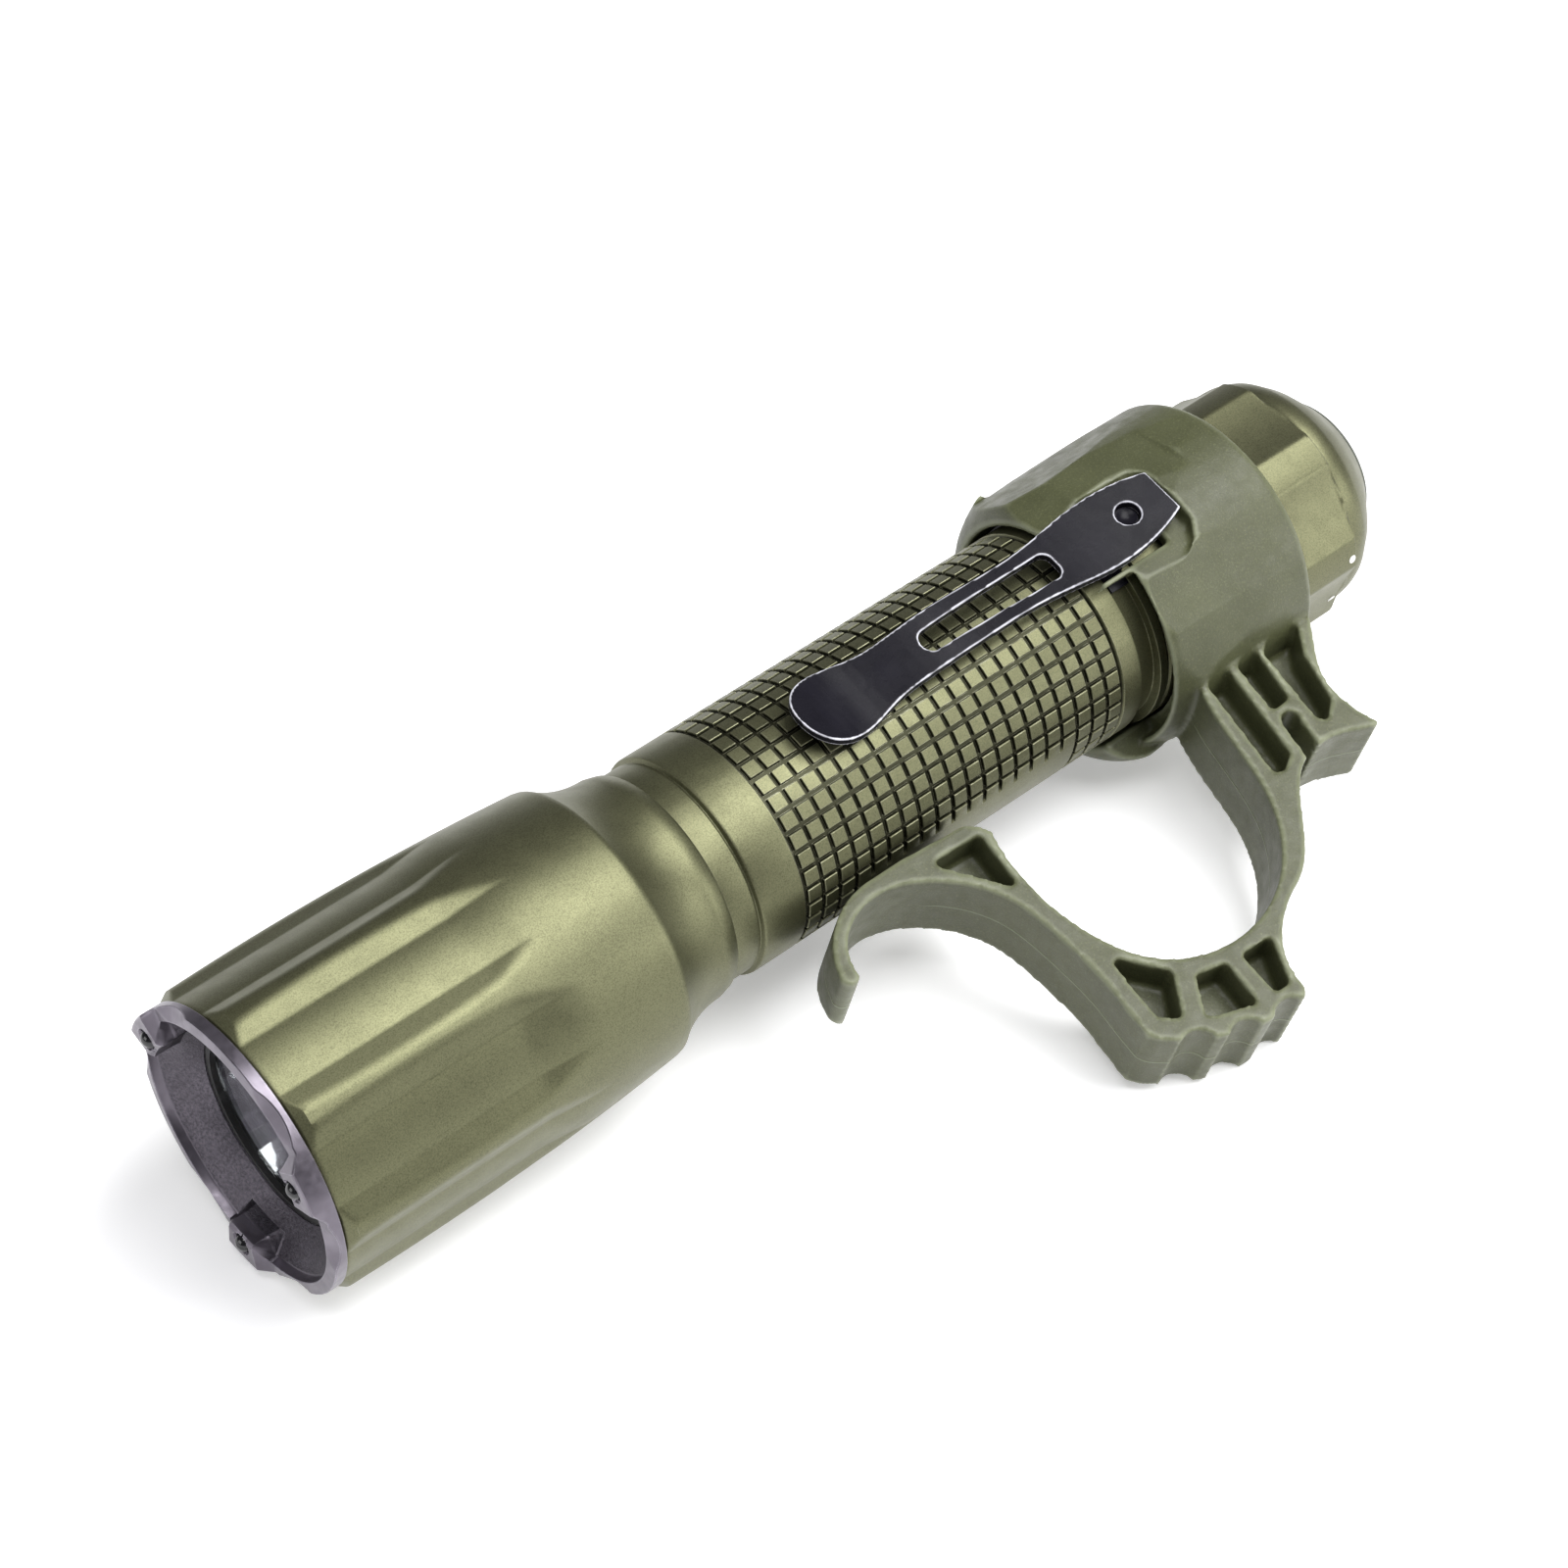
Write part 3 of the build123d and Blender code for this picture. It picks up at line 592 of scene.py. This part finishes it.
def tube_mesh():
    stations = []
    for k in range(COLUMNS):
        stations += [KNURL_START - k * PITCH - s for s in tooth_steps(PITCH)]
    stations += [KNURL_START - COLUMNS * PITCH]
    row = 360.0 / ROWS
    row_mm = math.radians(row) * TUBE_R
    angles = []
    for k in range(ROWS):
        angles += [math.radians(ROW_PHASE + k * row + s / row_mm * row) for s in tooth_steps(row_mm)]
    front = round_corners([(-43.9, 9.6), (-43.9, 11.25), (-50.4, 11.25), (-50.4, 10.3), (-51.6, 10.3),
                           (-51.6, 11.25), (-52.4, 11.25), (-52.4, 12.2), (-55.35, 12.2), (-55.45, 12.1),
                           (-55.6, 12.1), (-55.75, 12.62), (-56.05, TUBE_R)], 0.1)
    knurl = [(x, TUBE_R) for x in [KNURL_START + 0.6, KNURL_START + 0.3] + stations]
    rear = round_corners([(-105.6, TUBE_R), (-106.4, TUBE_R), (-108.1, TUBE_R), (-108.3, 12.25),
                          (-110.6, 11.9), (-110.6, 13.0), (-111.7, 13.0), (-111.7, 11.6), (-112.7, 11.6),
                          (-112.7, 10.6), (-113.9, 10.6), (-113.9, 11.6), (-121.3, 11.6), (-121.3, 9.6)], 0.1)

    def knurling(x, r, deg):
        along = (KNURL_START - x) % PITCH
        along = np.minimum(along, PITCH - along)
        across = ((deg - ROW_PHASE) % row) / row * row_mm
        across = np.minimum(across, row_mm - across)
        zone = (x <= KNURL_START + 0.25) & (x >= KNURL_START - COLUMNS * PITCH - 0.25) & (r > 12.6)
        turn = (deg + 180) % 360 - 180
        panel_front, panel_rear = (KNURL_START - column * PITCH for column in PANEL_COLUMNS)
        panel = (x < panel_front - 0.3) & (x > panel_rear + 0.3)
        panel = panel & (turn > PANEL_ANGLES[0]) & (turn < PANEL_ANGLES[1])
        groove = np.maximum(groove_depth(along), groove_depth(across))
        groove = np.where(zone & ~panel, groove, 0.0)
        return x, r - groove

    return lathe(front + knurl + rear, angles, knurling)


new_object("tube_knurled", tube_mesh(), "flashlight", "anodised_green", "body_tube", smooth_angle=28)


# ------------------------------------------------------------------ selector and button

SELECTOR_R = 14.4
SELECTOR_BORE_R = 12.36
SCALLOP_PITCH = 360 / 7
SCALLOP_TURN = 35.0
SCALLOP_FLOOR = 13.4
SCALLOP_RISE = 0.3
SCALLOP_HALF_WIDTH = 4.45
SCALLOP_RUNOUT_X = -139.1


def selector_mesh():
    skirt = round_corners([(-134.0, SELECTOR_BORE_R), (-130.7, SELECTOR_BORE_R), (-130.7, SELECTOR_R),
                           (-131.2, SELECTOR_R)], 0.3)
    back = [(-139.12, 14.3), (-139.4, 13.5)] + arc((-139.46, 13.48), (-140.8, 13.42), (-141.9, 13.08), 8)
    rim = round_corners([back[-1], (-143.8, 11.7), (-146.9, 8.6), (-146.9, 8.42), (-143.25, 8.42),
                         (-143.25, 9.96), (-140.5, SELECTOR_BORE_R), (-137.0, SELECTOR_BORE_R)], 0.15)
    straight = densify([(-131.2, SELECTOR_R), (-139.0, SELECTOR_R)], 0.25)
    outline = skirt + straight[1:] + back + rim[1:]

    def scallops(x, r, deg):
        half = SCALLOP_PITCH / 2
        rad = np.radians(np.abs((deg - SCALLOP_TURN + half) % SCALLOP_PITCH - half))
        across = 13.6 * np.tan(rad)
        cut = (SCALLOP_FLOOR + SCALLOP_RISE * (across / SCALLOP_HALF_WIDTH) ** 2) / np.cos(rad)
        cut = cut + np.clip(SCALLOP_RUNOUT_X - x, 0, None) * 1.2
        outer = (r > 12.9) & (x > -141)
        return x, np.where(outer, soft_min(r, cut, 0.08), r)

    return lathe(outline, even(392), scallops)


new_object("selector_scalloped", selector_mesh(), "selector", "anodised_green", "mode_ring")


def button_mesh():
    dome = arc((-147.5, 8.15), (-148.05, 4.2), (-148.3, 0.02), 16)
    barrel = round_corners([(-130.6, 0.02), (-130.6, 2.2), (-139.2, 2.2), (-139.2, 9.8), (-140.95, 9.8),
                            (-140.95, 8.3), (-147.35, 8.3), dome[0]], 0.2)
    return lathe(barrel + dome[1:], even(128))


new_object("button_dome", button_mesh(), "button", "button_dark", "tail_button")


def index_dots():
    """Two small painted dots that mark the selector's position."""
    bm = bmesh.new()
    for x, radius, angle in ((-138.2, 13.56, -24.0), (-138.5, 14.39, 6.9)):
        turn = Matrix.Rotation(math.radians(angle), 4, "X")
        base = turn @ Matrix.Translation((x * MM, radius * MM, 0)) @ Matrix.Rotation(-math.pi / 2, 4, "X")
        bmesh.ops.create_cone(bm, cap_ends=True, segments=28, radius1=0.52 * MM, radius2=0.46 * MM,
                              depth=0.08 * MM, matrix=base)
    mesh = bpy.data.meshes.new("index_dots")
    bm.to_mesh(mesh)
    bm.free()
    obj = new_object("index_dots", mesh, "selector", "white_board")
    obj.data.materials[0] = MARK


index_dots()


# ------------------------------------------------------------------ moulded ring, clip and bezel

def facet(mesh, angle, reach, rear, front):
    """Presses a flat into the collar at an angle; rear and front are (x, radius) points on it, in mm."""
    slope = (rear[1] - front[1]) / (rear[0] - front[0])
    points = np.empty(len(mesh.vertices) * 3)
    mesh.vertices.foreach_get("co", points)
    points = points.reshape(-1, 3)
    x, y, z = points.T / MM
    turn = math.radians(angle)
    out = y * math.cos(turn) + z * math.sin(turn)
    limit = rear[1] + (x - rear[0]) * slope
    off = np.degrees(np.arctan2(z, y)) - angle
    near = (np.abs((off + 180) % 360 - 180) < reach) & (x > rear[0]) & (x < -104) & (np.hypot(y, z) > 14)
    push = np.where(near, np.clip(out - limit, 0, None), 0) * MM
    points[:, 1] -= push * math.cos(turn)
    points[:, 2] -= push * math.sin(turn)
    mesh.vertices.foreach_set("co", points.ravel())


def ring_mesh():
    mesh = softened("finger_ring", 0.3, 4, "ring_moulding")
    for angle, reach in ((42, 21), (131, 20), (172, 20)):
        facet(mesh, angle, reach, (-126.5, 16.38), (-112.5, 15.55))
    facet(mesh, 84, 30, (-121.5, 16.4), (-112.5, 15.75))
    facet(mesh, 100, 24, (-128.5, 16.36), (-119.0, 16.0))
    mark_rims(mesh)
    return mesh


new_object("ring_moulding", ring_mesh(), "flashlight", "nylon_olive", "finger_ring", smooth_angle=60)


def clip_mesh():
    mesh = softened("pocket_clip", 0.11, 4, "clip_blade")
    mark_rims(mesh)
    return mesh


new_object("clip_blade", clip_mesh(), "clip", "clip_black", "pocket_clip", smooth_angle=60)


RIM_R = 15.85
LUG_TURN = 30
LUG_PITCH = 120
VALLEY_OFF = 28
VALLEY_ARC_R = 9.75
BALL_PITCH_R = 13.6
BALL_X = 0.2
SOCKET_R = 1.05


def bezel_mesh():
    """Crown ring between two profiles: the open crown and the three lugs that carry the balls."""
    shared_start = [(-9.0, 12.5), (-9.0, 14.2), (-1.85, 14.2), (-1.85, 15.76), (-1.76, RIM_R)]
    shared_end = [(-2.9, 12.1), (-4.22, 10.78), (-4.34, 10.7), (-4.5, 10.7), (-4.5, 12.5)]
    crown_key = [(-0.62, RIM_R), (-0.5, 15.78), (-0.46, 15.6)]
    crown_key += [(-0.46 + 0.12 * k / 20, 15.6 - 1.1 * k / 20) for k in range(1, 21)]
    crown_key += [(-0.4, 14.4), (-1.22, 14.22), (-1.36, 14.13), (-2.0, 13.27), (-2.76, 12.26)]
    lug_key = [(0.38, RIM_R), (0.53, 15.8), (0.66, 15.66)]
    lug_key += [(0.7, 15.6 - 2.85 * k / 20) for k in range(1, 21)]
    lug_key += [(0.62, 12.56), (0.34, 12.24), (0.2, 12.2), (-1.0, 12.2), (-2.74, 12.2)]
    crown = np.array(shared_start + crown_key + shared_end)
    lug = np.array(shared_start + lug_key + shared_end)
    first, inner, last = 5, 29, 5 + len(crown_key)
    offsets = [0.55 * k for k in range(14)] + [8.0, 8.5, 8.9, 10.2, 11.5, 12.8, 13.6, 14.2]
    offsets += [15 + 1.5 * k for k in range(31)]
    lugs = [LUG_TURN + k * LUG_PITCH for k in range(3)]
    angles = sorted({(lug_at + side * d) % 360 for lug_at in lugs for d in offsets for side in (-1, 1)})

    def crowned(x, r, deg):
        index = np.arange(len(crown))[:, None] * np.ones(x.shape[1])[None, :]
        delta = np.abs((deg - LUG_TURN + LUG_PITCH / 2) % LUG_PITCH - LUG_PITCH / 2)
        front = np.clip((14.0 - delta) / 5.5, 0, 1)
        flank = np.clip((13.0 - delta) / 3.5, 0, 1)
        weight = np.where(index >= inner, flank, front)
        weight = np.where((index >= first) & (index < last), weight, 0)
        x = crown[:, :1] * (1 - weight) + lug[:, :1] * weight
        r = crown[:, 1:] * (1 - weight) + lug[:, 1:] * weight
        side = np.radians(delta - VALLEY_OFF) * r
        dip = VALLEY_ARC_R - np.sqrt(np.clip(VALLEY_ARC_R ** 2 - side ** 2, 0, None))
        valley = -0.35 - (r - 14.4) * 0.552 + dip / 0.875
        lip = (index >= first) & (index < inner) & (delta > 14.2)
        x = np.where(lip, np.minimum(x, valley - 0.1 * (index == first)), x)
        away = np.hypot(np.radians(delta) * r, r - BALL_PITCH_R)
        socket = BALL_X - np.sqrt(np.clip(SOCKET_R ** 2 - away ** 2, 0, None))
        hole = (away < 1.25) & (index >= first) & (index < inner) & (delta < 8)
        x = np.where(hole, np.where(away < 1.04, socket, 0.5), x)
        return x, r

    return lathe(crown.tolist(), np.radians(angles).tolist(), crowned)


new_object("bezel_crown", bezel_mesh(), "flashlight", "bezel_grey", "strike_bezel", smooth_angle=26)

for entry in frame["record"]["subparts"]:
    node = frame["nodes"][entry["node"]]
    for index in range(len(node.data.materials)):
        node.data.materials[index] = FINISH[entry["material_slot"]]


# ------------------------------------------------------------------ floor, light, camera

def stage_floor():
    mesh = bpy.data.meshes.new("floor")
    half, height = 3.0, cad_box[0][2]
    corners = [(-half, -half, height), (half, -half, height), (half, half, height), (-half, half, height)]
    mesh.from_pydata(corners, [], [(0, 1, 2, 3)])
    floor = bpy.data.objects.new("floor", mesh)
    bpy.context.collection.objects.link(floor)
    s = Shader("floor_white")
    s.colour(s.mix(s.noise(60.0, 3.0), (0.86, 0.86, 0.87), (0.88, 0.88, 0.89)))
    s.rough(s.remap(s.noise(15.0, 3.0), 0.3, 0.7, 0.55, 0.65))
    s.set(Emission_Color=(1, 1, 1, 1), Emission_Strength=0.35)
    mesh.materials.append(s.done())


def area_light(name, place, target, size, power):
    """Soft rectangular light, in metres and watts, turned toward a point."""
    data = bpy.data.lights.new(name, "AREA")
    data.shape = "RECTANGLE"
    data.size, data.size_y = size
    data.energy = power
    obj = bpy.data.objects.new(name, data)
    bpy.context.collection.objects.link(obj)
    obj.location = place
    obj.rotation_euler = (Vector(target) - Vector(place)).to_track_quat("-Z", "Y").to_euler()


def light_the_set():
    world = bpy.data.worlds.new("studio")
    bpy.context.scene.world = world
    world.use_nodes = True
    back = world.node_tree.nodes["Background"]
    back.inputs["Color"].default_value = (0.95, 0.95, 1.0, 1)
    back.inputs["Strength"].default_value = 0.19
    middle = (-0.07, 0.01, 0.0)
    area_light("key", (-0.4, 0.26, 0.8), middle, (0.8, 0.6), 12.0)
    area_light("rear", (-0.66, 0.7, 0.26), (-0.13, 0.01, 0.0), (0.4, 0.4), 3.2)
    area_light("front", (0.75, -0.15, 0.3), middle, (0.5, 0.4), 1.5)
    area_light("mouth", (0.2, 0.12, 0.8), (0.0, 0.0, 0.0), (0.35, 0.35), 1.8)


def add_camera():
    data = bpy.data.cameras.new("camera")
    data.lens = 86.07
    data.sensor_width = 36
    data.clip_start = 0.01
    camera = bpy.data.objects.new("camera", data)
    bpy.context.collection.objects.link(camera)
    right = (-0.756426, 0.654080, 0)
    up = (-0.478978, -0.553925, 0.680989)
    back = (0.445421, 0.515118, 0.732293)
    turn = Matrix((right, up, back)).transposed().to_4x4()
    camera.matrix_world = Matrix.Translation((0.101671, 0.197475, 0.283747)) @ turn
    bpy.context.scene.camera = camera


stage_floor()
light_the_set()
add_camera()
bpy.context.scene.view_settings.view_transform = "Standard"
